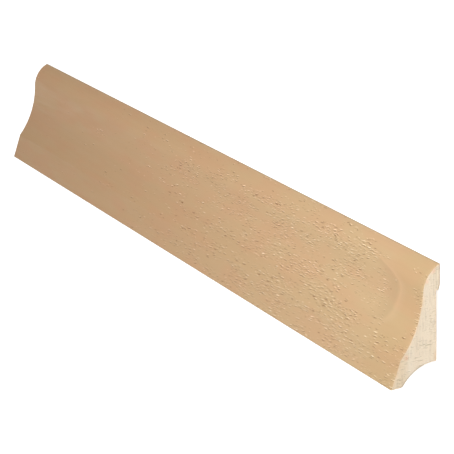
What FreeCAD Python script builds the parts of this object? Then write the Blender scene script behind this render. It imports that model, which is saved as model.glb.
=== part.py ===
import FreeCAD, Part
import math
import os

import Sketcher

# Wooden corner moulding: one straight stick, run through a moulder from one piece of hardwood.
# The section is drawn with its height along +Y (toe to crown) and its depth along +Z (back to front),
# and the stick runs along X. It is stored on its back, as it lies on a level floor.

# Driving dimensions in millimetres, and degrees for the lean and the angle.
SIZES = {
    # The stick as a whole.
    "stickLength": 450.0,
    "sectionHeight": 58.5,
    # Back: a flat bearing face, and under the crown a thin lip that stands proud of it.
    "heelHeight": 9.2,
    "lipHeight": 13.5,
    "lipDepth": 2.0,
    "lipLand": 1.0,
    "shoulderRadius": 7.0,
    # Front: a round nose that flows into a long cove, then a straight facet down to the toe.
    # The lean is how far the face is from upright where the nose turns into the cove.
    "noseReach": 7.95,
    "noseRadius": 14.9,
    "noseLean": 3.0,
    "facetHeight": 14.2,
    "facetAngle": 21.0,
    "toeReach": 26.2,
    # Underside: a narrow flat on the toe, then a hollow up to the heel.
    "toeLand": 6.8,
    "hollowRadius": 20.5,
    # Arrises along the stick, each lightly eased.
    "toeArris": 0.3,
    "landArris": 2.5,
    "heelArris": 0.5,
    "crownArris": 0.4,
    "facetArris": 1.2,
}

NODE = "moulding"
SHEET = "Sizes"
TOUCHING = 0.001


def add_sheet(doc):
    # The driving dimensions, one row each with its name beside it.
    sheet = doc.addObject("Spreadsheet::Sheet", SHEET)
    for row, (name, value) in enumerate(SIZES.items(), start=1):
        sheet.set(f"A{row}", name)
        sheet.set(f"B{row}", str(value))
        sheet.setAlias(f"B{row}", name)
    doc.recompute()


def point(height, depth):
    # A point of the section: height above the toe, depth in front of the back face.
    return FreeCAD.Vector(height, depth, 0)


def section_points(size):
    # The corners of the section and the centres of its arcs, worked out from the sizes.
    lip_step = size["sectionHeight"] - size["lipHeight"]
    shoulder_inset = size["shoulderRadius"] - (size["lipDepth"] - size["lipLand"])
    shoulder_top = lip_step + math.sqrt(size["shoulderRadius"] ** 2 - shoulder_inset ** 2)

    # The nose is drawn from the crown to its foot, where the cove takes over.
    lean = math.radians(size["noseLean"])
    outward = point(math.sin(lean), math.cos(lean))
    nose_centre_depth = size["noseReach"] - size["noseRadius"] * outward.y
    nose_rise = math.sqrt(size["noseRadius"] ** 2 - (nose_centre_depth + size["lipDepth"]) ** 2)
    nose_centre = point(size["sectionHeight"] - nose_rise, nose_centre_depth)
    nose_foot = nose_centre + outward * size["noseRadius"]

    # The cove leaves the nose smoothly and ends at the top of the facet, which gives its radius.
    toe = point(0, size["toeReach"])
    facet_run = size["facetHeight"] * math.tan(math.radians(size["facetAngle"]))
    facet_top = point(size["facetHeight"], size["toeReach"] - facet_run)
    cove_chord = facet_top - nose_foot
    cove_radius = cove_chord.Length ** 2 / (2 * cove_chord.dot(outward))

    # The hollow passes through the heel and the inner edge of the toe's flat.
    heel = point(size["heelHeight"], 0)
    land_edge = point(0, size["toeReach"] - size["toeLand"])
    chord = land_edge - heel
    drop = math.sqrt(size["hollowRadius"] ** 2 - (chord.Length / 2) ** 2)
    below = point(-chord.y, chord.x).normalize()
    hollow_centre = (heel + land_edge) * 0.5 + below * drop

    return {
        "heel": heel,
        "step": point(lip_step, 0),
        "shoulder": point(lip_step, -size["lipLand"]),
        "lip": point(shoulder_top, -size["lipDepth"]),
        "crown": point(size["sectionHeight"], -size["lipDepth"]),
        "nose": nose_foot,
        "facetTop": facet_top,
        "toe": toe,
        "landEdge": land_edge,
        "shoulderCentre": point(shoulder_top, size["shoulderRadius"] - size["lipDepth"]),
        "noseCentre": nose_centre,
        "coveCentre": nose_foot + outward * cove_radius,
        "hollowCentre": hollow_centre,
    }


def arc_about(centre, first, last):
    # The arc that runs counter-clockwise about its centre from the first point to the last.
    circle = Part.Circle(centre, FreeCAD.Vector(0, 0, 1), (first - centre).Length)
    return Part.ArcOfCircle(circle, circle.parameter(first), circle.parameter(last))


def draw_section(body, at):
    # The closed outline, fully constrained, with every dimension bound to the sheet.
    yz_plane = next(item for item in body.Origin.OriginFeatures if item.Role == "YZ_Plane")
    sketch = body.newObject("Sketcher::SketchObject", "Section")
    sketch.AttachmentSupport = [(yz_plane, "")]
    sketch.MapMode = "FlatFace"

    back = sketch.addGeometry(Part.LineSegment(at["heel"], at["step"]))
    step = sketch.addGeometry(Part.LineSegment(at["step"], at["shoulder"]))
    shoulder = sketch.addGeometry(arc_about(at["shoulderCentre"], at["shoulder"], at["lip"]))
    lip = sketch.addGeometry(Part.LineSegment(at["lip"], at["crown"]))
    nose = sketch.addGeometry(arc_about(at["noseCentre"], at["crown"], at["nose"]))
    cove = sketch.addGeometry(arc_about(at["coveCentre"], at["facetTop"], at["nose"]))
    facet = sketch.addGeometry(Part.LineSegment(at["toe"], at["facetTop"]))
    land = sketch.addGeometry(Part.LineSegment(at["toe"], at["landEdge"]))
    hollow = sketch.addGeometry(arc_about(at["hollowCentre"], at["heel"], at["landEdge"]))

    # The numbers by which a sketch knows the points of a curve, and its own two axes.
    start, end, centre = range(1, 4)
    height_axis, depth_axis = range(-1, -3, -1)

    def constrain(kind, *where):
        return sketch.addConstraint(Sketcher.Constraint(kind, *where))

    def dimension(alias, kind, *where, sign=1):
        # A dimension starts at its size and then follows its cell.
        value = math.radians(SIZES[alias]) if kind == "Angle" else SIZES[alias]
        unit = "deg" if kind == "Angle" else "mm"
        number = constrain(kind, *where, sign * value)
        sketch.renameConstraint(number, alias)
        sketch.setExpression(f"Constraints.{alias}", f"{sign} * {SHEET}.{alias} * 1 {unit}")

    # The outline closes end to end, smoothly where the shoulder meets the lip and the nose the cove.
    constrain("Coincident", back, end, step, start)
    constrain("Coincident", step, end, shoulder, start)
    constrain("Tangent", shoulder, end, lip, start)
    constrain("Coincident", lip, end, nose, start)
    constrain("Tangent", nose, end, cove, end)
    constrain("Coincident", cove, start, facet, end)
    constrain("Coincident", facet, start, land, start)
    constrain("Coincident", land, end, hollow, end)
    constrain("Coincident", hollow, start, back, start)

    # The back face lies on the height axis and the toe on the depth axis.
    constrain("Horizontal", back)
    constrain("PointOnObject", back, start, height_axis)
    constrain("Vertical", step)
    constrain("Horizontal", lip)
    constrain("Vertical", land)
    constrain("PointOnObject", land, start, depth_axis)

    # The nose's foot stands above its centre by the lean.
    foot_rise = at["nose"].x - at["noseCentre"].x
    number = constrain("DistanceX", nose, centre, nose, end, foot_rise)
    sketch.renameConstraint(number, "noseFootRise")
    rise = f"{SHEET}.noseRadius * sin({SHEET}.noseLean * 1 deg) * 1 mm"
    sketch.setExpression("Constraints.noseFootRise", rise)

    dimension("heelHeight", "DistanceX", height_axis, start, back, start)
    dimension("sectionHeight", "DistanceX", height_axis, start, lip, end)
    dimension("lipHeight", "DistanceX", step, start, lip, end)
    dimension("lipLand", "DistanceY", step, end, step, start)
    dimension("lipDepth", "DistanceY", lip, end, height_axis, start)
    dimension("shoulderRadius", "Radius", shoulder)
    dimension("noseReach", "DistanceY", height_axis, start, nose, end)
    dimension("noseRadius", "Radius", nose)
    dimension("facetHeight", "DistanceX", height_axis, start, facet, end)
    dimension("facetAngle", "Angle", facet, sign=-1)
    dimension("toeReach", "DistanceY", height_axis, start, land, start)
    dimension("toeLand", "DistanceY", land, end, land, start)
    dimension("hollowRadius", "Radius", hollow)
    return sketch


def edge_along(solid, corner):
    # The name of the long edge that runs through one corner of the section.
    for number, edge in enumerate(solid.Edges, start=1):
        tips = [vertex.Point for vertex in edge.Vertexes]
        at_corner = all(
            math.hypot(tip.y - corner.x, tip.z - corner.y) < TOUCHING for tip in tips)
        if at_corner and abs(tips[-1].x - tips[0].x) > TOUCHING:
            return f"Edge{number}"
    raise RuntimeError(f"no edge runs through {corner}")


def ease(doc, body, base, corner, alias):
    # Rounds one arris of the stick along its whole length.
    fillet = body.newObject("PartDesign::Fillet", alias[0].upper() + alias[1:])
    fillet.Base = (base, [edge_along(base.Shape, corner)])
    fillet.setExpression("Radius", f"{SHEET}.{alias} * 1 mm")
    doc.recompute()
    return fillet


def build_moulding(doc):
    at = section_points(SIZES)
    body = doc.addObject("PartDesign::Body", "Moulding")
    body.Label = NODE
    sketch = draw_section(body, at)

    stick = body.newObject("PartDesign::Pad", "Stick")
    stick.Profile = sketch
    stick.SideType = "Symmetric"
    stick.setExpression("Length", f"{SHEET}.stickLength * 1 mm")
    doc.recompute()

    last = stick
    for corner, alias in (
        ("toe", "toeArris"),
        ("landEdge", "landArris"),
        ("heel", "heelArris"),
        ("crown", "crownArris"),
        ("facetTop", "facetArris"),
    ):
        last = ease(doc, body, last, at[corner], alias)
    return body


def resting_tilt(size, at):
    # On its back the stick lies on two rounds, the eased heel and the shoulder of the lip.
    # The floor touches both, so it is their common tangent. The result is in degrees.
    hollow = at["hollowCentre"]
    reach = size["hollowRadius"] + size["heelArris"]
    rise = math.sqrt(reach ** 2 - (size["heelArris"] - hollow.y) ** 2)
    heel_centre = point(hollow.x + rise, size["heelArris"])
    between = at["shoulderCentre"] - heel_centre
    line = math.atan2(between.y, between.x)
    swing = math.asin((size["shoulderRadius"] - size["heelArris"]) / between.Length)
    return math.degrees(swing - line)


def lay_on_floor(doc, body):
    # Turned until both rounds touch, then moved so that the origin is under its middle.
    tilt = resting_tilt(SIZES, section_points(SIZES))
    turn = FreeCAD.Rotation(FreeCAD.Vector(1, 0, 0), tilt)
    body.Placement = FreeCAD.Placement(FreeCAD.Vector(0, 0, 0), turn)
    doc.recompute()
    box = body.Shape.optimalBoundingBox(False, False)
    middle = (box.YMin + box.YMax) / 2
    body.Placement.Base = FreeCAD.Vector(0, -middle, -box.ZMin)
    doc.recompute()
    print(f"resting tilt {tilt:.3f} degrees")


def check(doc, body):
    # Nothing is written unless the whole document built and the section is fully constrained.
    for item in doc.Objects:
        if "Invalid" in item.State or "Error" in item.State:
            raise RuntimeError(f"{item.Name} did not build: {item.State}")
    if not doc.getObject("Section").FullyConstrained:
        raise RuntimeError("the section is not fully constrained")
    if body.Shape.isNull() or not body.Shape.isValid():
        raise RuntimeError(f"{body.Label} has no sound shape")
    if len(body.Shape.Solids) != 1:
        raise RuntimeError(f"{body.Label} is not one solid")


def main():
    doc = FreeCAD.newDocument("CornerMoulding")
    add_sheet(doc)
    moulding = build_moulding(doc)
    lay_on_floor(doc, moulding)
    check(doc, moulding)

    os.makedirs("parts", exist_ok=True)
    moulding.Shape.exportStep(f"parts/{moulding.Label}.step")
    box = moulding.Shape.optimalBoundingBox(False, False)
    print(f"{moulding.Label}: {box.XLength:.2f} x {box.YLength:.2f} x {box.ZLength:.2f} mm, "
          f"{moulding.Shape.Volume / 1000:.1f} cm3")


main()
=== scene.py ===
import math

import bmesh
import bpy
from mathutils import Matrix, Vector, geometry, noise


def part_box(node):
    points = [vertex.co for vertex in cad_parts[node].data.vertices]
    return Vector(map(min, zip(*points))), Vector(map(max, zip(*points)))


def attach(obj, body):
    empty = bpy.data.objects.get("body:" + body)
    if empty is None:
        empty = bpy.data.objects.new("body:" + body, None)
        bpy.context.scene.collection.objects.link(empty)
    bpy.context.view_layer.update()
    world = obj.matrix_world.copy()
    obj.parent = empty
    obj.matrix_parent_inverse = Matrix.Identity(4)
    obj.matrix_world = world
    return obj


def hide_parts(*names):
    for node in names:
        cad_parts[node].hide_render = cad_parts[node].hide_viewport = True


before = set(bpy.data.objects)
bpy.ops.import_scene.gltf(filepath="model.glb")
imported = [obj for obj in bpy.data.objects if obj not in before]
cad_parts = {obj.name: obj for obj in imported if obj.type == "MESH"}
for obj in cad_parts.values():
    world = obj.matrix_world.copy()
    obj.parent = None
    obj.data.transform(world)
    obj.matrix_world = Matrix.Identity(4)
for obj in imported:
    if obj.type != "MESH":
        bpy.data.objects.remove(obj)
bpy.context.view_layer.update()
mm = 0.001  # everything is in metres, so millimetres are written as 5.0 * mm


# camera

cameraSizes = {
    "lens": 162.30,
    "sensor": 36.0,
    "place": (0.9695, 0.3391, 0.5263),
    "target": (0.0110, -0.0146, -0.0038),
    "roll": math.radians(-99.06),  # the stick is photographed upright, so the picture is turned
    "sightRange": (0.01, 100.0),
}


def addCamera(sizes):
    data = bpy.data.cameras.new("camera")
    data.lens = sizes["lens"]
    data.sensor_width = sizes["sensor"]
    data.clip_start, data.clip_end = sizes["sightRange"]
    camera = bpy.data.objects.new("camera", data)
    bpy.context.collection.objects.link(camera)
    place = Vector(sizes["place"])
    sight = Vector(sizes["target"]) - place
    turn = sight.to_track_quat("-Z", "Y").to_matrix().to_4x4()
    camera.matrix_world = Matrix.Translation(place) @ turn @ Matrix.Rotation(sizes["roll"], 4, "Z")
    bpy.context.scene.camera = camera


# floor and sky

stageSizes = {
    "skyLevel": 0.37,
    "floorSize": 40.0,
    "floorColour": (0.90, 0.90, 0.90, 1.0),
    "floorLift": 0.80,  # only the camera sees this, and it takes the paper to white
}


def seenDirectly(nodes, links):
    # 1 for what the camera, a gloss or a glass sees, and 0 for light on the object
    path = nodes.new("ShaderNodeLightPath")
    total = path.outputs["Is Camera Ray"]
    for name in ("Is Glossy Ray", "Is Transmission Ray"):
        join = nodes.new("ShaderNodeMath")
        join.operation = "MAXIMUM"
        links.new(total, join.inputs[0])
        links.new(path.outputs[name], join.inputs[1])
        total = join.outputs[0]
    return total


def paperMaterial(sizes):
    material = bpy.data.materials.new("white paper")
    material.use_nodes = True
    nodes = material.node_tree.nodes
    links = material.node_tree.links
    nodes.clear()
    paper = nodes.new("ShaderNodeBsdfDiffuse")
    paper.inputs["Color"].default_value = sizes["floorColour"]
    lift = nodes.new("ShaderNodeEmission")
    strength = nodes.new("ShaderNodeMath")
    strength.operation = "MULTIPLY"
    strength.inputs[1].default_value = sizes["floorLift"]
    links.new(seenDirectly(nodes, links), strength.inputs[0])
    links.new(strength.outputs[0], lift.inputs["Strength"])
    both = nodes.new("ShaderNodeAddShader")
    links.new(paper.outputs[0], both.inputs[0])
    links.new(lift.outputs[0], both.inputs[1])
    output = nodes.new("ShaderNodeOutputMaterial")
    links.new(both.outputs[0], output.inputs["Surface"])
    return material


def addFloor(sizes):
    mesh = bpy.data.meshes.new("floor")
    half = sizes["floorSize"] / 2
    corners = [(-half, -half, 0), (half, -half, 0), (half, half, 0), (-half, half, 0)]
    mesh.from_pydata(corners, [], [(0, 1, 2, 3)])
    mesh.materials.append(paperMaterial(sizes))
    floor = bpy.data.objects.new("floor", mesh)
    bpy.context.collection.objects.link(floor)


def addSky(sizes):
    world = bpy.data.worlds.new("studio")
    world.use_nodes = True
    nodes = world.node_tree.nodes
    links = world.node_tree.links
    sky = nodes["Background"]
    level = nodes.new("ShaderNodeMapRange")
    level.inputs["To Min"].default_value = sizes["skyLevel"]
    level.inputs["To Max"].default_value = 1.0
    links.new(seenDirectly(nodes, links), level.inputs["Value"])
    links.new(level.outputs[0], sky.inputs["Strength"])
    sky.inputs["Color"].default_value = (1.0, 1.0, 1.0, 1.0)
    bpy.context.scene.world = world


# the soft boxes: place, what they point at, width and power in watts

lampSizes = {
    "key": {"place": (0.30, 0.235, 0.47), "aim": (0.10, 0.0, 0.0), "size": 0.30, "power": 1.97},
    "nearEnd": {"place": (1.45, 0.15, 0.20), "aim": (0.22, 0.0, 0.0), "size": 0.50, "power": 3.6},
    "farEnd": {"place": (-1.45, -0.25, 0.16), "aim": (-0.22, 0.0, 0.0), "size": 0.50, "power": 4.0},
}


def addLamps(lamps):
    for name, sizes in lamps.items():
        data = bpy.data.lights.new(name + "SoftBox", "AREA")
        data.shape = "DISK"
        data.size = sizes["size"]
        data.energy = sizes["power"]
        lamp = bpy.data.objects.new(name + "SoftBox", data)
        bpy.context.collection.objects.link(lamp)
        place = Vector(sizes["place"])
        turn = (Vector(sizes["aim"]) - place).to_track_quat("-Z", "Y").to_matrix().to_4x4()
        lamp.matrix_world = Matrix.Translation(place) @ turn
        lamp.visible_camera = False


# the section: its points are height above the toe, then depth in front of the back face

stickSizes = {
    "sectionHeight": 58.5 * mm,
    "heelHeight": 9.2 * mm,  # where the back face starts
    "lipHeight": 13.5 * mm,
    "lipDepth": 2.0 * mm,  # how far the lip stands proud of the back face
    "lipLand": 1.0 * mm,
    "shoulderRadius": 7.0 * mm,
    "noseReach": 7.95 * mm,
    "noseRadius": 14.9 * mm,
    "noseLean": math.radians(3.0),  # the slope where the nose flows into the cove
    "facetHeight": 14.2 * mm,
    "facetAngle": math.radians(21.0),
    "toeReach": 26.2 * mm,
    "toeLand": 6.8 * mm,
    "hollowRadius": 20.5 * mm,
    "toeArris": 0.3 * mm,
    "landArris": 2.5 * mm,
    "heelArris": 0.5 * mm,
    "crownArris": 0.4 * mm,
    "facetArris": 1.2 * mm,
}


def straight(start, end):
    return [start, end]


def arcPoints(start, end, centre, step):
    radius = (start - centre).length
    first = start - centre
    turn = first.angle_signed(end - centre)  # clockwise is positive here
    count = max(2, round(abs(turn) * radius / step))
    points = []
    for k in range(count + 1):
        points.append(centre + Matrix.Rotation(-turn * k / count, 2) @ first)
    return points


def spanLength(points):
    return sum((b - a).length for a, b in zip(points, points[1:]))


def trimmed(points, cut):
    # the same span, shorter by cut at its start
    points = list(points)
    while (points[1] - points[0]).length <= cut:
        cut -= (points[1] - points[0]).length
        points.pop(0)
    points[0] = points[0].lerp(points[1], cut / (points[1] - points[0]).length)
    return points


def easedCorner(before, after, radius, step):
    # both spans cut back, and the round that joins them
    incoming = (before[-1] - before[-2]).normalized()
    outgoing = (after[1] - after[0]).normalized()
    turn = incoming.angle_signed(outgoing)
    cut = radius * math.tan(abs(turn) / 2)
    before = trimmed(before[::-1], cut)[::-1]
    after = trimmed(after, cut)
    side = math.copysign(1, -turn)
    centre = before[-1] + Vector((-incoming.y, incoming.x)) * side * radius
    return before, after, arcPoints(before[-1], after[0], centre, step)


def spaced(points, step):
    # the same line with its points a step apart, its last point left out
    total = spanLength(points)
    count = max(1, round(total / step))
    places = []
    passed = 0.0
    k = 0
    for n in range(count):
        wanted = total * n / count
        while passed + (points[k + 1] - points[k]).length < wanted:
            passed += (points[k + 1] - points[k]).length
            k += 1
        share = (wanted - passed) / (points[k + 1] - points[k]).length
        places.append(points[k].lerp(points[k + 1], share))
    return places


def sectionLine(sizes, mesh):
    # closed, from the toe over the front to the crown, down the lip and the back, and round the hollow
    fine = mesh["arrisStep"]
    toe = Vector((0, sizes["toeReach"]))
    slope = math.tan(sizes["facetAngle"])
    facetTop = Vector((sizes["facetHeight"], sizes["toeReach"] - sizes["facetHeight"] * slope))
    crown = Vector((sizes["sectionHeight"], -sizes["lipDepth"]))
    outward = Vector((math.sin(sizes["noseLean"]), math.cos(sizes["noseLean"])))
    noseDepth = sizes["noseReach"] - sizes["noseRadius"] * outward.y
    noseDrop = math.sqrt(sizes["noseRadius"] ** 2 - (crown.y - noseDepth) ** 2)
    noseCentre = Vector((crown.x - noseDrop, noseDepth))
    noseFoot = noseCentre + outward * sizes["noseRadius"]
    coveChord = facetTop - noseFoot
    coveRadius = coveChord.length_squared / (2 * coveChord.dot(outward))  # it flows out of the nose
    coveCentre = noseFoot + outward * coveRadius
    step = Vector((sizes["sectionHeight"] - sizes["lipHeight"], 0))
    land = step - Vector((0, sizes["lipLand"]))
    shoulderDrop = sizes["shoulderRadius"] - (sizes["lipDepth"] - sizes["lipLand"])
    shoulderRun = math.sqrt(sizes["shoulderRadius"] ** 2 - shoulderDrop ** 2)
    shoulderTop = Vector((step.x + shoulderRun, -sizes["lipDepth"]))
    shoulderCentre = shoulderTop + Vector((0, sizes["shoulderRadius"]))
    heel = Vector((sizes["heelHeight"], 0))
    landEdge = Vector((0, sizes["toeReach"] - sizes["toeLand"]))
    hollowChord = heel - landEdge
    sag = math.sqrt(sizes["hollowRadius"] ** 2 - hollowChord.length_squared / 4)
    below = Vector((hollowChord.y, -hollowChord.x)).normalized()
    hollowCentre = (heel + landEdge) / 2 + below * sag

    facet = straight(toe, facetTop)
    cove = arcPoints(facetTop, noseFoot, coveCentre, fine)
    nose = arcPoints(noseFoot, crown, noseCentre, fine)
    lip = straight(crown, shoulderTop)
    shoulder = arcPoints(shoulderTop, land, shoulderCentre, fine)
    rebate = straight(land, step)
    back = straight(step, heel)
    hollow = arcPoints(heel, landEdge, hollowCentre, fine)
    toeFlat = straight(landEdge, toe)

    facet, cove, facetRound = easedCorner(facet, cove, sizes["facetArris"], fine)
    nose, lip, crownRound = easedCorner(nose, lip, sizes["crownArris"], fine)
    back, hollow, heelRound = easedCorner(back, hollow, sizes["heelArris"], fine)
    hollow, toeFlat, landRound = easedCorner(hollow, toeFlat, sizes["landArris"], fine)
    toeFlat, facet, toeRound = easedCorner(toeFlat, facet, sizes["toeArris"], fine)

    wide = mesh["flatStep"]
    spans = [
        ("front", facet, wide), ("front", facetRound, fine), ("front", cove, wide), ("front", nose, wide),
        ("crown", crownRound, fine), ("lip", lip, wide), ("shoulder", shoulder, wide / 2),
        ("rebate", rebate, fine * 2), ("back", back, wide), ("heel", heelRound, fine),
        ("hollow", hollow, wide), ("land", landRound, fine), ("toeFlat", toeFlat, wide),
        ("toe", toeRound, fine),
    ]
    points = []
    names = []
    for name, span, gap in spans:
        placed = spaced(span, gap)
        points += placed
        names += [name] * len(placed)
    return points, names


def restingTurn(points, middle):
    # the stick lies on its heel and on the lip, which stands proud of the back
    rounds = 6  # each one finds the two lines it rests on a little better
    heelSide = [p for p in points if p.x < middle]
    lipSide = [p for p in points if p.x >= middle]
    turn = 0.0
    for k in range(rounds):
        height = lambda p: p.x * math.sin(turn) + p.y * math.cos(turn)
        low = min(heelSide, key=height)
        high = min(lipSide, key=height)
        turn = -math.atan2(high.y - low.y, high.x - low.x)
    return turn


def laidDown(points, turn, low):
    # section points as the stick lies, across first and up second, and how far they were moved
    across = [p.x * math.cos(turn) - p.y * math.sin(turn) for p in points]
    up = [p.x * math.sin(turn) + p.y * math.cos(turn) for p in points]
    shift = Vector((min(across) - low.y, min(up) - low.z))
    return [Vector((y, z)) - shift for y, z in zip(across, up)], shift


def backInSection(spot, turn, shift):
    y, z = spot + shift
    return Vector((y * math.cos(turn) + z * math.sin(turn), z * math.cos(turn) - y * math.sin(turn)))


def inwards(line):
    # a unit vector into the wood at each point of the closed line
    found = []
    for k in range(len(line)):
        along = (line[(k + 1) % len(line)] - line[k - 1]).normalized()
        found.append(Vector((along.y, -along.x)))
    return found


# the stick's mesh: how fine it is, and the small marks that are shape and not paint

meshSizes = {
    "flatStep": 0.85 * mm,  # between points round the section
    "arrisStep": 0.18 * mm,
    "longStep": 1.5 * mm,  # between sections along the stick
    "endStep": 0.13 * mm,  # the same, at the sawn ends
    "endZone": 1.2 * mm,
    "stepGrowth": 1.25,  # how fast the steps widen behind that zone
    "capStep": 0.42 * mm,  # across the sawn face
    "capMargin": 0.55,  # what its points keep from the rim, in steps
    "mergeGap": 1e-7,
    "sharpAngle": math.radians(50),
    "frontEase": 0.42 * mm,  # the end arris, rubbed over with paper on the moulded front
    "backEase": 0.16 * mm,
    "easeBlend": 12,  # rounds in which the wider easing runs out beside the front
    "easeUneven": 0.5,
    "easePatch": 3.0 * mm,
    "rubWidth": 0.75 * mm,  # how far the rubbing at the near end, and the darker far end arris, show in the colour
    "backRub": 0.3,  # how much of it the arrises away from the front have
    "darkRim": 0.3 * mm,  # a dark line on the sawn face, round the lip and along the hollow by the toe
    "waveDepth": 0.03 * mm,  # the face's slow waves from the planer's feed
    "waveLength": 38.0 * mm,
    "waveSpread": 3,  # how many more of them there are round the section
    "waveStart": 4.0 * mm,  # from the sawn end
    "sawDepth": 0.07 * mm,
    "sawPitch": 1.9 * mm,
    "sawSpindle": (0.02, -0.12),
    "sawWander": (0.8, 9.0 * mm),  # in pitches, and how far apart
    "sawStart": 0.8 * mm,  # from the rim of the sawn face
    "fibreDepth": 0.05 * mm,
    "fibrePatch": 0.9 * mm,
    "noisePart": {"score": 3.0, "ease": 5.0, "torn": 7.0},  # so that no two marks are alike
    "arrisShade": {"crown": 1.0, "toe": 1.0, "heel": 0.5, "land": 0.4},  # painted shade: the crown and toe arrises, which turn away from the light, are darker in colour, the heel and land less so
}

# where rays crowd on the planed faces: along, up the section, half length, half height, share of them
rayCrowds = {
    "start": (-115.0, 0.01),  # a place along the stick, and the share of rays up to there
    "end": (125.0, 0.70),  # the same, from there on
    "spots": (
        (-125, 38.0, 14, 5.0, 0.5), (-97, 15.0, 12, 5.0, 0.6), (-50, 11.0, 14, 4.0, 0.4),
        (-30, 32.0, 14, 4.0, 0.4), (-10, 43.5, 16, 8.0, 0.8), (10, 17.6, 12, 5.0, 0.6),
        (30, 51.5, 95, 3.0, 0.2), (79, 44.0, 46, 9.0, 0.4), (80, 56.0, 150, 5.0, -0.6),
        (104, 28.0, 40, 8.0, 0.7), (117, 9.3, 38, 5.0, 0.7), (124, 16.8, 70, 7.0, 1.0),
        (136, 54.0, 34, 2.6, 0.2), (142, 49.0, 26, 3.2, 0.4), (147, 28.0, 26, 7.0, 0.7),
        (170, 42.0, 13, 14.0, 0.6), (176, 52.5, 14, 3.5, 0.7), (192, 37.0, 10, 4.0, 0.4),
        (196, 26.0, 34, 34.0, -0.45), (204, 50.0, 26, 7.0, -0.8), (205, 57.0, 50, 5.0, -0.9),
        (212, 33.0, 18, 22.0, -0.9),
    ),
}

# the same on the sawn face: up the section, out from the back, half height, half width, share
sawnCrowds = {
    "base": 0.12,
    "spots": (
        (30.0, 1.5, 8.5, 6.0, 1.1), (19.5, 6.0, 3.5, 12.0, 0.6), (14.0, 17.5, 3.5, 3.0, 0.6),
        (25.0, 2.0, 3.0, 4.0, 0.5), (48.0, 1.0, 7.0, 4.0, 0.5), (4.5, 20.5, 4.0, 4.0, 0.5),
    ),
}

# pink and brown stains on the sawn face: up, out, half height, half width, strength
stains = {
    "pink": ((55.2, 1.8, 2.2, 2.0, 1.0), (50.5, 5.4, 1.8, 1.6, 0.8), (14.8, 17.2, 2.2, 2.4, 0.8)),
    "brown": (
        (11.5, 0.8, 5.0, 1.6, 0.5), (56.3, 2.6, 0.8, 1.0, 0.9), (56.6, 0.9, 0.8, 0.9, 0.8),
        (14.2, 16.8, 0.7, 1.2, 0.7),
    ),
}


def softSpots(first, second, spots):
    # each spot is an ellipse, full in its middle and nothing at its rim
    total = 0.0
    for x, y, halfX, halfY, strength in spots:
        reach = ((first - x) / halfX) ** 2 + ((second - y) / halfY) ** 2
        if reach < 1:
            total += strength * (1 - reach) ** 2
    return total


def rayShare(along, up, crowds):
    start, least = crowds["start"]
    end, most = crowds["end"]
    ramp = min(1.0, max(0.0, (along - start) / (end - start)))
    base = least + (most - least) * ramp * ramp * (3 - 2 * ramp)
    return min(1.0, max(0.0, base + softSpots(along, up, crowds["spots"])))


def stations(half, sizes):
    # places along the stick, close together at the sawn ends
    places = []
    reach = 0.0
    gap = sizes["endStep"]
    while reach < half:
        places.append(half - reach)
        reach += gap
        if reach > sizes["endZone"]:
            gap = min(gap * sizes["stepGrowth"], sizes["longStep"])
    return [-x for x in places] + [0.0] + places[::-1]


def endInset(distance, ease):
    # a quarter round from the sawn face to the long face
    if distance >= ease:
        return 0.0
    return ease - math.sqrt(ease ** 2 - (ease - distance) ** 2)


def longRelief(x, point, sizes):
    length = sizes["waveLength"]
    spread = sizes["waveSpread"]
    place = Vector((x / length, point.x / length * spread, point.y / length * spread))
    return sizes["waveDepth"] * (0.5 + 0.5 * noise.noise(place))


def unevenness(point, patch, end, mark, sizes):
    # noise over the end, from -1 to 1, in patches of this size, and not the same at both ends
    return noise.noise(Vector((point.x / patch, point.y / patch, end * sizes["noisePart"][mark])))


def sawRelief(point, end, sizes):
    # the blade's scoring, in arcs about a spindle below the stick, and fibres that it tore
    across, below = sizes["sawSpindle"]
    stray, apart = sizes["sawWander"]
    reach = (point - Vector((across * end, below))).length / sizes["sawPitch"]
    wander = unevenness(point, apart, end, "score", sizes)
    score = 0.5 + 0.5 * math.sin(2 * math.pi * (reach + stray * wander))
    torn = unevenness(point, sizes["fibrePatch"], end, "torn", sizes)
    return sizes["sawDepth"] * score ** 3 + sizes["fibreDepth"] * max(0.0, torn) ** 2


def capPoints(ring, step):
    # a staggered grid over the sawn face's box
    across = [p.x for p in ring]
    up = [p.y for p in ring]
    rowGap = step * math.sqrt(0.75)
    inner = []
    for row in range(int((max(up) - min(up)) / rowGap) + 1):
        for column in range(int((max(across) - min(across)) / step) + 1):
            y = min(across) + (column + 0.5 * (row % 2)) * step
            inner.append(Vector((y, min(up) + row * rowGap)))
    return inner


def insideRing(point, ring):
    inside = False
    for a, b in zip(ring, ring[1:] + ring[:1]):
        if (a.y > point.y) != (b.y > point.y):
            if point.x < a.x + (point.y - a.y) * (b.x - a.x) / (b.y - a.y):
                inside = not inside
    return inside


def edgeDistance(point, ring):
    return min((point - p).length for p in ring)


def rubbed(distance, sizes):
    return math.exp(-distance / sizes["rubWidth"])


def pointsOf(ring, names, wanted):
    return [point for point, name in zip(ring, names) if name in wanted]


def endEases(names, line, end, sizes):
    # how much of the end arris is rubbed off at each point round the section
    eases = [sizes["frontEase"] if name == "front" else sizes["backEase"] for name in names]
    for k in range(sizes["easeBlend"]):
        eases = [(eases[n - 1] + eases[n] + eases[(n + 1) % len(eases)]) / 3 for n in range(len(eases))]
    uneven = [unevenness(p, sizes["easePatch"], end, "ease", sizes) for p in line]
    return [ease * (1 + sizes["easeUneven"] * value) for ease, value in zip(eases, uneven)]


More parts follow.
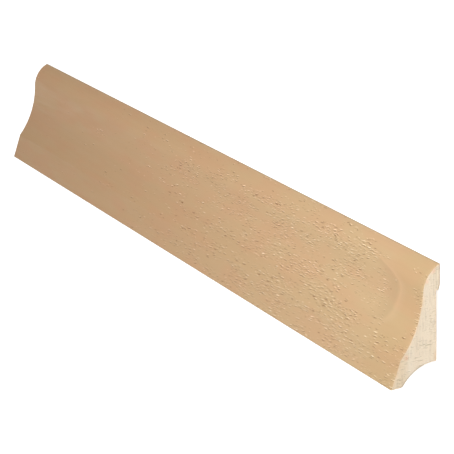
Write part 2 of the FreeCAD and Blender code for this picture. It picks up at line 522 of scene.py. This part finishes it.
def addSides(work, layers, section, half, sizes):
    rows = []
    ring, inner, line, names = section
    eases = {end: endEases(names, line, end, sizes) for end in (-1, 1)}
    for x in stations(half, sizes):
        row = []
        gap = half - abs(x)
        for k, point in enumerate(ring):
            ease = eases[-1 if x < 0 else 1][k]
            depth = longRelief(x, point, sizes) * min(1.0, gap / sizes["waveStart"])
            spot = point + inner[k] * (depth + endInset(gap, ease))
            vert = work.verts.new((x, spot.x, spot.y))
            rub = 1.0 if names[k] == "front" else sizes["backRub"]
            vert[layers["endArris"]] = rub * rubbed(gap, sizes)
            vert[layers["paintedArrisShade"]] = sizes["arrisShade"].get(names[k], 0.0)
            vert[layers["rayShare"]] = rayShare(x / mm, line[k].x / mm, rayCrowds)
            row.append(vert)
        rows.append(row)
    for row, following in zip(rows, rows[1:]):
        for k in range(len(row)):
            n = (k + 1) % len(row)
            work.faces.new((row[k], row[n], following[n], following[k])).smooth = True
    return rows


def addSawnFace(work, layers, row, names, end, half, flat, sizes):
    # flat takes a spot on the sawn face back to the section's own height and depth
    rim = [Vector((v.co.y, v.co.z)) for v in row]
    frontRim = pointsOf(rim, names, ("front",))
    hollowRim = pointsOf(rim, names, ("hollow",))
    darkRim = pointsOf(rim, names, ("crown", "lip", "shoulder", "land")) + hollowRim[len(hollowRim) // 3:]
    spots = [p for p in capPoints(rim, sizes["capStep"]) if insideRing(p, rim)]
    spots = [p for p in spots if edgeDistance(p, rim) > sizes["capMargin"] * sizes["capStep"]]
    edges = [(k, (k + 1) % len(rim)) for k in range(len(rim))]
    made = geometry.delaunay_2d_cdt(rim + spots, edges, [], 1, sizes["mergeGap"])
    verts = []
    for place, source in zip(made[0], made[3]):
        dark = math.exp(-edgeDistance(place, darkRim) / sizes["darkRim"])
        if source and source[0] < len(rim):
            row[source[0]][layers["darkRim"]] = dark
            verts.append(row[source[0]])
            continue
        gap = edgeDistance(place, rim)
        depth = sawRelief(place, end, sizes) * min(1.0, gap / sizes["sawStart"])
        vert = work.verts.new((end * (half - depth), place.x, place.y))
        up, out = flat(place) / mm
        vert[layers["endArris"]] = rubbed(edgeDistance(place, frontRim), sizes)
        vert[layers["darkRim"]] = dark
        vert[layers["rayShare"]] = min(1.0, sawnCrowds["base"] + softSpots(up, out, sawnCrowds["spots"]))
        for colour, places in stains.items():
            vert[layers[colour]] = softSpots(up, out, places)
        verts.append(vert)
    for corners in made[2]:
        face = work.faces.new([verts[k] for k in corners])
        face.material_index = 1
        face.smooth = True


def buildStick(sizes, mesh):
    line, names = sectionLine(sizes, mesh)
    turn = restingTurn(line, sizes["sectionHeight"] / 2)
    low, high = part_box("moulding")
    ring, shift = laidDown(line, turn, low)
    half = (high.x - low.x) / 2
    work = bmesh.new()
    attributes = ("paintedArrisShade", "endArris", "darkRim", "rayShare", "pink", "brown")
    layers = {name: work.verts.layers.float.new(name) for name in attributes}
    rows = addSides(work, layers, (ring, inwards(ring), line, names), half, mesh)
    flat = lambda spot: backInSection(spot, turn, shift)
    for end, row in ((-1, rows[0]), (1, rows[-1])):
        addSawnFace(work, layers, row, names, end, half, flat, mesh)
    bmesh.ops.recalc_face_normals(work, faces=work.faces)
    data = bpy.data.meshes.new("stick")
    work.to_mesh(data)
    work.free()
    data.set_sharp_from_angle(angle=mesh["sharpAngle"])
    stick = bpy.data.objects.new("stick", data)
    bpy.context.collection.objects.link(stick)
    print("stick: turned", round(math.degrees(turn), 3), "degrees,", len(ring), "points round it,",
          len(data.polygons), "faces")
    return stick, turn, shift


# nodes

def addNode(tree, kind, inputs=None, **settings):
    # inputs holds a value or another node's output for each socket
    made = tree.nodes.new("ShaderNode" + kind)
    for name, value in settings.items():
        setattr(made, name, value)
    for socket, value in (inputs or {}).items():
        if isinstance(value, bpy.types.NodeSocket):
            tree.links.new(value, made.inputs[socket])
        else:
            made.inputs[socket].default_value = value
    return made


def calc(tree, operation, *values):
    return addNode(tree, "Math", dict(enumerate(values)), operation=operation).outputs[0]


def vectorCalc(tree, operation, *values):
    return addNode(tree, "VectorMath", dict(enumerate(values)), operation=operation).outputs[0]


def rise(tree, value, start, end, low=0.0, high=1.0):
    # a soft step from low to high as value goes from start to end
    inputs = {"Value": value, "From Min": start, "From Max": end, "To Min": low, "To Max": high}
    return addNode(tree, "MapRange", inputs, interpolation_type="SMOOTHSTEP").outputs[0]


def blended(tree, share, first, second, kind="MIX"):
    inputs = {0: share, 6: first, 7: second}
    return addNode(tree, "Mix", inputs, data_type="RGBA", blend_type=kind).outputs[2]


def shaded(tree, colour, shade):
    grey = addNode(tree, "CombineColor", {0: shade, 1: shade, 2: shade}).outputs[0]
    return blended(tree, 1.0, colour, grey, "MULTIPLY")


def attribute(tree, name):
    return addNode(tree, "Attribute", attribute_name=name).outputs["Fac"]


def vectorOf(tree, value):
    return addNode(tree, "CombineXYZ", {"X": value}).outputs[0]


def noiseValue(tree, place, scale, detail=2.0, roughness=0.5):
    # scale is how many waves go into a millimetre, along, up and out
    scaled = vectorCalc(tree, "MULTIPLY", place, scale)
    inputs = {"Vector": scaled, "Scale": 1.0, "Detail": detail, "Roughness": roughness}
    return addNode(tree, "TexNoise", inputs, noise_dimensions="3D").outputs["Fac"]


def newGroup(name, inputs, outputs):
    tree = bpy.data.node_groups.new(name, "ShaderNodeTree")
    for socket, kind in inputs.items():
        tree.interface.new_socket(name=socket, in_out="INPUT", socket_type="NodeSocket" + kind)
    for socket, kind in outputs.items():
        tree.interface.new_socket(name=socket, in_out="OUTPUT", socket_type="NodeSocket" + kind)
    start = tree.nodes.new("NodeGroupInput")
    end = tree.nodes.new("NodeGroupOutput")
    return tree, start, end


def putOut(tree, end, values):
    for name, value in values.items():
        tree.links.new(value, end.inputs[name])


def useGroup(tree, group, inputs=None):
    made = tree.nodes.new("ShaderNodeGroup")
    made.node_tree = group
    for socket, value in (inputs or {}).items():
        if isinstance(value, bpy.types.NodeSocket):
            tree.links.new(value, made.inputs[socket])
        else:
            made.inputs[socket].default_value = value
    return made


# where a point lies in the board: along it, up its section and out from its back, in millimetres

grainSlope = 0.03  # the fibres climb towards the crown by this much for each unit of length


def makePlaceGroup(turn, shift):
    tree, start, end = newGroup("woodPlace", {}, {"Place": "Vector", "Grain": "Vector"})
    place = addNode(tree, "TexCoord").outputs["Object"]
    moved = backInSection(Vector((0.0, 0.0)), turn, shift) / mm
    inputs = {"Vector": place, "Scale": (1 / mm, 1 / mm, 1 / mm), "Rotation": (-turn, 0, 0)}
    inputs["Location"] = (0, moved.x, moved.y)
    board = addNode(tree, "Mapping", inputs, vector_type="POINT").outputs[0]
    along = addNode(tree, "SeparateXYZ", {0: board}).outputs[0]
    climb = addNode(tree, "CombineXYZ", {"Y": calc(tree, "MULTIPLY", along, grainSlope)}).outputs[0]
    putOut(tree, end, {"Place": board, "Grain": vectorCalc(tree, "SUBTRACT", board, climb)})
    return tree


# the figure: growth layers, the bands they make on the planed faces, and slow patches of warmer wood

figureSizes = {
    "ringWidth": 2.1,
    "ringUneven": (0.23, 2.6),  # how quickly their width changes across them, and by how much
    "ringEdge": (3.0, 0.93),  # how late a ring darkens, and where it starts to end
    "ringLean": 0.0175,  # how far the growth layers climb towards the front for each unit of length
    "waver": 0.9,
    "waverScale": (0.009, 0.05, 0.03),
    "bandWidth": 4.5,
    "paleLayer": (7.6, 2.2),  # a broad pale layer: its place and half its width
    "paleEdge": (1.6, 0.4),  # where it is gone and where it is full, in that half width
    "outerLayers": (11.0, 15.0),  # from here to the toe the wood is a little darker
    "patchLength": 34.0,
    "patchWidth": 11.0,
}

# where one layer comes to the surface beside the near end; the last five are in its own length or width
tongueSizes = {
    "tip": (206.5, 39.0),
    "length": 20.0,
    "width": (19.0, 12.0),  # below its tip, and above it
    "bend": 4.0,
    "waver": 0.5,
    "runOut": {"back": (-1.9, -0.9), "side": (-1.0, -0.55)},
    "rim": {"before": (-0.08, 0.0), "after": (0.1, 0.0)},
    "faintRim": (-0.75, 0.1, 0.25, 1.0),  # on the toe's side
    "inside": {"front": (-0.02, -0.18), "back": (-0.9, -0.2)},
    "beyond": {"front": (0.05, 0.3), "back": (-0.9, 0.1)},
}


def tongueMasks(tree, along, up, waver, sizes):
    tipAlong, tipUp = sizes["tip"]
    fromTip = calc(tree, "SUBTRACT", up, tipUp)
    below, above = sizes["width"]
    width = calc(tree, "MULTIPLY_ADD", calc(tree, "GREATER_THAN", fromTip, 0.0), above - below, below)
    side = calc(tree, "DIVIDE", fromTip, width)
    back = calc(tree, "DIVIDE", calc(tree, "SUBTRACT", along, tipAlong), sizes["length"])
    curve = calc(tree, "ADD", calc(tree, "POWER", calc(tree, "ABSOLUTE", side), sizes["bend"]), back)
    shaken = calc(tree, "MULTIPLY_ADD", waver, sizes["waver"], curve)

    def between(part, first, second):
        edges = list(sizes[part].values())
        return calc(tree, "MULTIPLY", rise(tree, first, *edges[0]), rise(tree, second, *edges[1]))

    runOut = between("runOut", back, side)
    rim = calc(tree, "MULTIPLY", between("rim", shaken, shaken), rise(tree, side, *sizes["faintRim"]))
    rim = calc(tree, "MULTIPLY", rim, runOut)
    inside = calc(tree, "MULTIPLY", between("inside", shaken, shaken), runOut)
    return {"Rim": rim, "Inside": inside, "Beyond": between("beyond", shaken, back)}


def makeFigureGroup(sizes):
    outputs = {"Ring": "Float", "Band": "Float", "Pale": "Float", "Outer": "Float", "Patch": "Float"}
    outputs.update({"Rim": "Float", "Inside": "Float", "Beyond": "Float"})
    tree, start, end = newGroup("growthFigure", {"Place": "Vector"}, outputs)
    place = start.outputs["Place"]
    along, up, out = addNode(tree, "SeparateXYZ", {0: place}).outputs
    waver = calc(tree, "SUBTRACT", noiseValue(tree, place, sizes["waverScale"], 3.0), 0.5)
    lean = calc(tree, "MULTIPLY_ADD", along, -sizes["ringLean"], out)
    layer = calc(tree, "MULTIPLY_ADD", waver, 2 * sizes["waver"], lean)
    change, amount = sizes["ringUneven"]
    uneven = calc(tree, "SUBTRACT", noiseValue(tree, vectorOf(tree, layer), (change, 0, 0), 1.0), 0.5)
    count = calc(tree, "MULTIPLY_ADD", uneven, amount, calc(tree, "DIVIDE", layer, sizes["ringWidth"]))
    share = calc(tree, "FRACT", count)
    late, last = sizes["ringEdge"]
    ring = calc(tree, "MULTIPLY", calc(tree, "POWER", share, late), rise(tree, share, 1.0, last))
    band = noiseValue(tree, vectorOf(tree, layer), (1 / sizes["bandWidth"], 0, 0), 2.0, 0.6)
    middle, half = sizes["paleLayer"]
    gone, full = sizes["paleEdge"]
    beside = calc(tree, "ABSOLUTE", calc(tree, "SUBTRACT", layer, middle))
    pale = rise(tree, beside, half * gone, half * full)
    outer = rise(tree, layer, *sizes["outerLayers"])
    patchScale = (1 / sizes["patchLength"], 1 / sizes["patchWidth"], 1 / sizes["patchWidth"])
    patch = noiseValue(tree, place, patchScale, 2.0)
    putOut(tree, end, {"Ring": ring, "Band": band, "Pale": pale, "Outer": outer, "Patch": patch})
    putOut(tree, end, tongueMasks(tree, along, up, waver, tongueSizes))
    return tree


# the rays: short ribbons across the growth layers, dark in the middle, with a painted highlight along one
# edge where light would catch it

raySizes = {
    "spot": 0.38,  # half their length, in cells
    "solidCore": 0.45,  # the share of that which has their full colour
    "faintest": 0.3,
    "otherEdge": 0.55,  # how much of its painted highlight a dark ray shows, and of its dark a mostly highlighted one
    "jitter": 0.8,  # how far they stray up and down, in millimetres
    "jitterScale": (0.3, 0.6, 0.2),
    "highlightShift": (0.0, 0.34, 0.0),  # how far the painted highlight lies from the ray's middle, in cells
    "planedCell": (5.2, 1.05, 6.0),  # one ray to a cell, in millimetres along, up and out
    "smallCell": (2.6, 0.85, 4.0),
    "planedStretch": (0.9, 2.2, 0.3),
    "sawnCell": (9.0, 0.85, 4.2),
    "tickCell": (9.0, 0.62, 1.7),
    "sawnStretch": (0.3, 1.7, 0.8),
}


def makeRayGroup(sizes):
    inputs = {"Place": "Vector", "Cell": "Vector", "Stretch": "Vector", "Amount": "Float"}
    tree, start, end = newGroup("rays", inputs, {"Dark": "Float", "Light": "Float"})
    place = start.outputs["Place"]
    stray = calc(tree, "SUBTRACT", noiseValue(tree, place, sizes["jitterScale"], 3.0, 0.6), 0.5)
    stray = calc(tree, "MULTIPLY", stray, 2 * sizes["jitter"])
    stray = addNode(tree, "CombineXYZ", {"Y": stray}).outputs[0]
    scaled = vectorCalc(tree, "DIVIDE", vectorCalc(tree, "ADD", place, stray), start.outputs["Cell"])
    inputs = {"Vector": scaled, "Scale": 1.0}
    cells = addNode(tree, "TexVoronoi", inputs, feature="F1", voronoi_dimensions="3D").outputs
    off = vectorCalc(tree, "SUBTRACT", scaled, cells["Position"])
    chance, force, kind = addNode(tree, "SeparateColor", {0: cells["Color"]}).outputs
    kept = calc(tree, "LESS_THAN", chance, start.outputs["Amount"])
    strength = calc(tree, "MULTIPLY", kept, rise(tree, force, 0.0, 1.0, sizes["faintest"], 1.0))
    # the Light mask is a painted highlight, set a little towards the crown from the ray's dark middle
    beside = vectorCalc(tree, "SUBTRACT", off, sizes["highlightShift"])
    masks = {}
    other = sizes["otherEdge"]
    for name, spot, favour in (("Dark", off, (1.0, other)), ("Light", beside, (other, 1.0))):
        shaped = vectorCalc(tree, "MULTIPLY", spot, start.outputs["Stretch"])
        reach = addNode(tree, "VectorMath", {0: shaped}, operation="LENGTH").outputs["Value"]
        core = rise(tree, reach, sizes["spot"], sizes["spot"] * sizes["solidCore"])
        share = calc(tree, "MULTIPLY", strength, rise(tree, kind, 0.0, 1.0, *favour))
        masks[name] = calc(tree, "MULTIPLY", share, core)
    putOut(tree, end, masks)
    return tree


# the fine lines of the fibres, long on the planed faces and dots on the sawn ones

fibreSizes = {
    "fine": (0.15, 2.2, 2.2),
    "coarse": (0.04, 0.5, 0.5),
    "roughEdges": (0.3, 0.7),  # between these values of the coarse ones the surface gets rougher
}


def makeFibreGroup(sizes):
    tree, start, end = newGroup("fibres", {"Grain": "Vector"}, {"Fine": "Float", "Coarse": "Float"})
    grain = start.outputs["Grain"]
    fine = noiseValue(tree, grain, sizes["fine"], 3.0, 0.6)
    coarse = noiseValue(tree, grain, sizes["coarse"], 3.0, 0.55)
    putOut(tree, end, {"Fine": fine, "Coarse": coarse})
    return tree


planedWood = {
    "far": (0.632, 0.405, 0.220, 1),
    "near": (0.636, 0.444, 0.246, 1),
    "turning": (-90.0, 225.0),  # between these places along the stick the colour turns to the near one
    "warmPatches": (0.40, 0.64),
    "crowdScale": (0.05, 0.2, 0.2),  # the rays lie in drifts
    "crowdEdges": (0.40, 0.58),
    "crowdShare": (0.1, 1.25),
    # the colours from here on multiply the wood's own
    "pink": (1.02, 0.955, 0.965, 1),
    "rayDark": (0.31, 0.15, 0.03, 1),
    # a painted highlight on one edge of each ray
    "rayHighlight": (1.62, 1.96, 2.38, 1),
    "smallShare": 0.7,
    # painted shade on the crown, toe, heel and land arrises, where the surface turns from the light
    "arris": (0.78, 0.86, 0.97, 1),
    "rubbed": (1.06, 1.10, 1.16, 1),
    # darker in colour along the far end's eased arris
    "farArrisDarker": (0.80, 0.82, 0.90, 1),
    "beyond": (0.975, 0.965, 0.93, 1),
    "ringDepth": 0.015,
    "bandDepth": 0.03,
    "paleLift": 0.02,
    "outerDepth": 0.045,
    "rimLift": 0.035,
    "insideDepth": 0.075,
    "fibreDepth": 0.035,
    "roughness": (0.60, 0.74),
    "specular": 0.20,
    "bump": 0.05 * mm,
}


def makePlanedMaterial(look, groups):
    material = bpy.data.materials.new("planed wood")
    material.use_nodes = True
    tree = material.node_tree
    shader = tree.nodes["Principled BSDF"]
    board = useGroup(tree, groups["place"]).outputs
    along = addNode(tree, "SeparateXYZ", {0: board["Place"]}).outputs[0]
    figure = useGroup(tree, groups["figure"], {"Place": board["Place"]}).outputs
    drift = noiseValue(tree, board["Grain"], look["crowdScale"], 2.0)
    crowd = rise(tree, drift, *look["crowdEdges"], *look["crowdShare"])
    amount = calc(tree, "MULTIPLY", attribute(tree, "rayShare"), crowd)
    inputs = {"Place": board["Grain"], "Cell": raySizes["planedCell"]}
    inputs.update({"Stretch": raySizes["planedStretch"], "Amount": amount})
    rays = useGroup(tree, groups["rays"], inputs).outputs
    inputs["Cell"] = raySizes["smallCell"]
    small = useGroup(tree, groups["rays"], inputs).outputs
    fibres = useGroup(tree, groups["fibres"], {"Grain": board["Grain"]}).outputs

    colour = blended(tree, rise(tree, along, *look["turning"]), look["far"], look["near"])
    warm = rise(tree, figure["Patch"], *look["warmPatches"])
    colour = blended(tree, warm, colour, look["pink"], "MULTIPLY")
    shade = calc(tree, "MULTIPLY_ADD", figure["Ring"], -look["ringDepth"], 1.0)
    band = calc(tree, "SUBTRACT", figure["Band"], 0.5)
    streak = calc(tree, "SUBTRACT", calc(tree, "ADD", fibres["Fine"], fibres["Coarse"]), 1.0)
    shade = calc(tree, "MULTIPLY_ADD", band, look["bandDepth"], shade)
    shade = calc(tree, "MULTIPLY_ADD", figure["Pale"], look["paleLift"], shade)
    shade = calc(tree, "MULTIPLY_ADD", figure["Outer"], -look["outerDepth"], shade)
    shade = calc(tree, "MULTIPLY_ADD", figure["Rim"], look["rimLift"], shade)
    shade = calc(tree, "MULTIPLY_ADD", figure["Inside"], -look["insideDepth"], shade)
    shade = calc(tree, "MULTIPLY_ADD", streak, look["fibreDepth"], shade)
    colour = shaded(tree, colour, shade)
    colour = blended(tree, figure["Beyond"], colour, look["beyond"], "MULTIPLY")
    # the rays' dark middles, and the painted highlights beside them
    for marks, share in ((rays, 1.0), (small, look["smallShare"])):
        dark = calc(tree, "MULTIPLY", marks["Dark"], share)
        light = calc(tree, "MULTIPLY", marks["Light"], share)
        colour = blended(tree, dark, colour, look["rayDark"], "MULTIPLY")
        colour = blended(tree, light, colour, look["rayHighlight"], "MULTIPLY")
    # painted shade along the long arrises
    colour = blended(tree, attribute(tree, "paintedArrisShade"), colour, look["arris"], "MULTIPLY")
    endArris = attribute(tree, "endArris")
    nearRub = calc(tree, "MULTIPLY", endArris, calc(tree, "GREATER_THAN", along, 0.0))
    farArrisMask = calc(tree, "SUBTRACT", endArris, nearRub)
    # lighter where the near end's arris is rubbed, and darker along the far end's arris
    colour = blended(tree, nearRub, colour, look["rubbed"], "MULTIPLY")
    colour = blended(tree, farArrisMask, colour, look["farArrisDarker"], "MULTIPLY")
    tree.links.new(colour, shader.inputs["Base Color"])

    roughness = rise(tree, fibres["Coarse"], *fibreSizes["roughEdges"], *look["roughness"])
    tree.links.new(roughness, shader.inputs["Roughness"])
    height = calc(tree, "MULTIPLY_ADD", rays["Dark"], -1.0, fibres["Fine"])
    bump = addNode(tree, "Bump", {"Height": height, "Strength": 1.0, "Distance": look["bump"]})
    tree.links.new(bump.outputs[0], shader.inputs["Normal"])
    shader.inputs["Specular IOR Level"].default_value = look["specular"]
    return material


sawnWood = {
    "cream": (0.905, 0.780, 0.610, 1),
    "tan": (0.875, 0.726, 0.550, 1),
    "tanShare": 0.7,
    "tanBands": (0.35, 0.75),
    # the colours from here on multiply the wood's own
    "pink": (1.06, 0.90, 0.84, 1),
    "brown": (0.80, 0.66, 0.56, 1),
    "darkRim": (0.42, 0.40, 0.34, 1),
    "lipMark": (0.72, 0.71, 0.66, 1),
    "markPlace": (0.25, 0.32),  # out from the back, and half its width
    "markStart": (45.0, 46.5),
    "rayDark": (0.58, 0.54, 0.42, 1),
    # a painted highlight on one edge of each ray
    "rayHighlight": (1.12, 1.17, 1.26, 1),
    "rubbed": (1.10, 0.98, 0.86, 1),
    "rubScale": (0.0, 0.16, 0.16),
    "rubEdges": (0.38, 0.62),
    "leastRub": 0.25,
    "outer": (0.945, 0.91, 0.85, 1),
    "ringDepth": 0.17,
    "ringScale": (0.0, 0.22, 0.4),  # the rings show in short runs
    "ringEdges": (0.44, 0.60),
    "fibreDepth": 0.16,
    "roughness": (0.78, 0.92),
    "specular": 0.15,
    "bump": 0.15 * mm,
}


def makeSawnMaterial(look, groups):
    material = bpy.data.materials.new("sawn end")
    material.use_nodes = True
    tree = material.node_tree
    shader = tree.nodes["Principled BSDF"]
    place = useGroup(tree, groups["place"]).outputs["Place"]
    up, out = addNode(tree, "SeparateXYZ", {0: place}).outputs[1:]
    figure = useGroup(tree, groups["figure"], {"Place": place}).outputs
    inputs = {"Place": place, "Cell": raySizes["sawnCell"], "Stretch": raySizes["sawnStretch"]}
    inputs["Amount"] = attribute(tree, "rayShare")
    rays = useGroup(tree, groups["rays"], inputs).outputs
    inputs["Cell"] = raySizes["tickCell"]
    ticks = useGroup(tree, groups["rays"], inputs).outputs
    fibres = useGroup(tree, groups["fibres"], {"Grain": place}).outputs

    tanShare = rise(tree, figure["Band"], *look["tanBands"], 0.0, look["tanShare"])
    colour = blended(tree, tanShare, look["cream"], look["tan"])
    clear = rise(tree, noiseValue(tree, place, look["ringScale"], 2.0), *look["ringEdges"])
    lines = calc(tree, "MULTIPLY", figure["Ring"], clear)
    shade = calc(tree, "MULTIPLY_ADD", lines, -look["ringDepth"], 1.0)
    speck = calc(tree, "SUBTRACT", fibres["Fine"], 0.5)
    shade = calc(tree, "MULTIPLY_ADD", speck, look["fibreDepth"], shade)
    colour = shaded(tree, colour, shade)
    colour = blended(tree, figure["Outer"], colour, look["outer"], "MULTIPLY")
    # the rays' dark middles, and the painted highlights beside them
    for marks in (rays, ticks):
        colour = blended(tree, marks["Dark"], colour, look["rayDark"], "MULTIPLY")
        colour = blended(tree, marks["Light"], colour, look["rayHighlight"], "MULTIPLY")
    markOut, markHalf = look["markPlace"]
    beside = calc(tree, "ABSOLUTE", calc(tree, "SUBTRACT", out, markOut))
    mark = calc(tree, "MULTIPLY", rise(tree, beside, markHalf, 0.0), rise(tree, up, *look["markStart"]))
    colour = blended(tree, mark, colour, look["lipMark"], "MULTIPLY")
    for stain in ("pink", "brown", "darkRim"):
        colour = blended(tree, attribute(tree, stain), colour, look[stain], "MULTIPLY")
    patchy = noiseValue(tree, place, look["rubScale"], 2.0)
    patchy = rise(tree, patchy, *look["rubEdges"], look["leastRub"], 1.0)
    rub = calc(tree, "MULTIPLY", attribute(tree, "endArris"), patchy)
    colour = blended(tree, rub, colour, look["rubbed"], "MULTIPLY")
    tree.links.new(colour, shader.inputs["Base Color"])

    roughness = rise(tree, fibres["Coarse"], *fibreSizes["roughEdges"], *look["roughness"])
    tree.links.new(roughness, shader.inputs["Roughness"])
    height = calc(tree, "MULTIPLY_ADD", lines, 0.5, fibres["Fine"])
    bump = addNode(tree, "Bump", {"Height": height, "Strength": 1.0, "Distance": look["bump"]})
    tree.links.new(bump.outputs[0], shader.inputs["Normal"])
    shader.inputs["Specular IOR Level"].default_value = look["specular"]
    return material


bpy.context.scene.view_settings.view_transform = "Standard"
addCamera(cameraSizes)
addFloor(stageSizes)
addSky(stageSizes)
addLamps(lampSizes)
print("camera, floor and light are set")

stick, restTurn, sectionShift = buildStick(stickSizes, meshSizes)
woodGroups = {
    "place": makePlaceGroup(restTurn, sectionShift),
    "figure": makeFigureGroup(figureSizes),
    "rays": makeRayGroup(raySizes),
    "fibres": makeFibreGroup(fibreSizes),
}
stick.data.materials.append(makePlanedMaterial(planedWood, woodGroups))
stick.data.materials.append(makeSawnMaterial(sawnWood, woodGroups))
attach(stick, "root")
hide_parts("moulding")
print("the stick is in place")
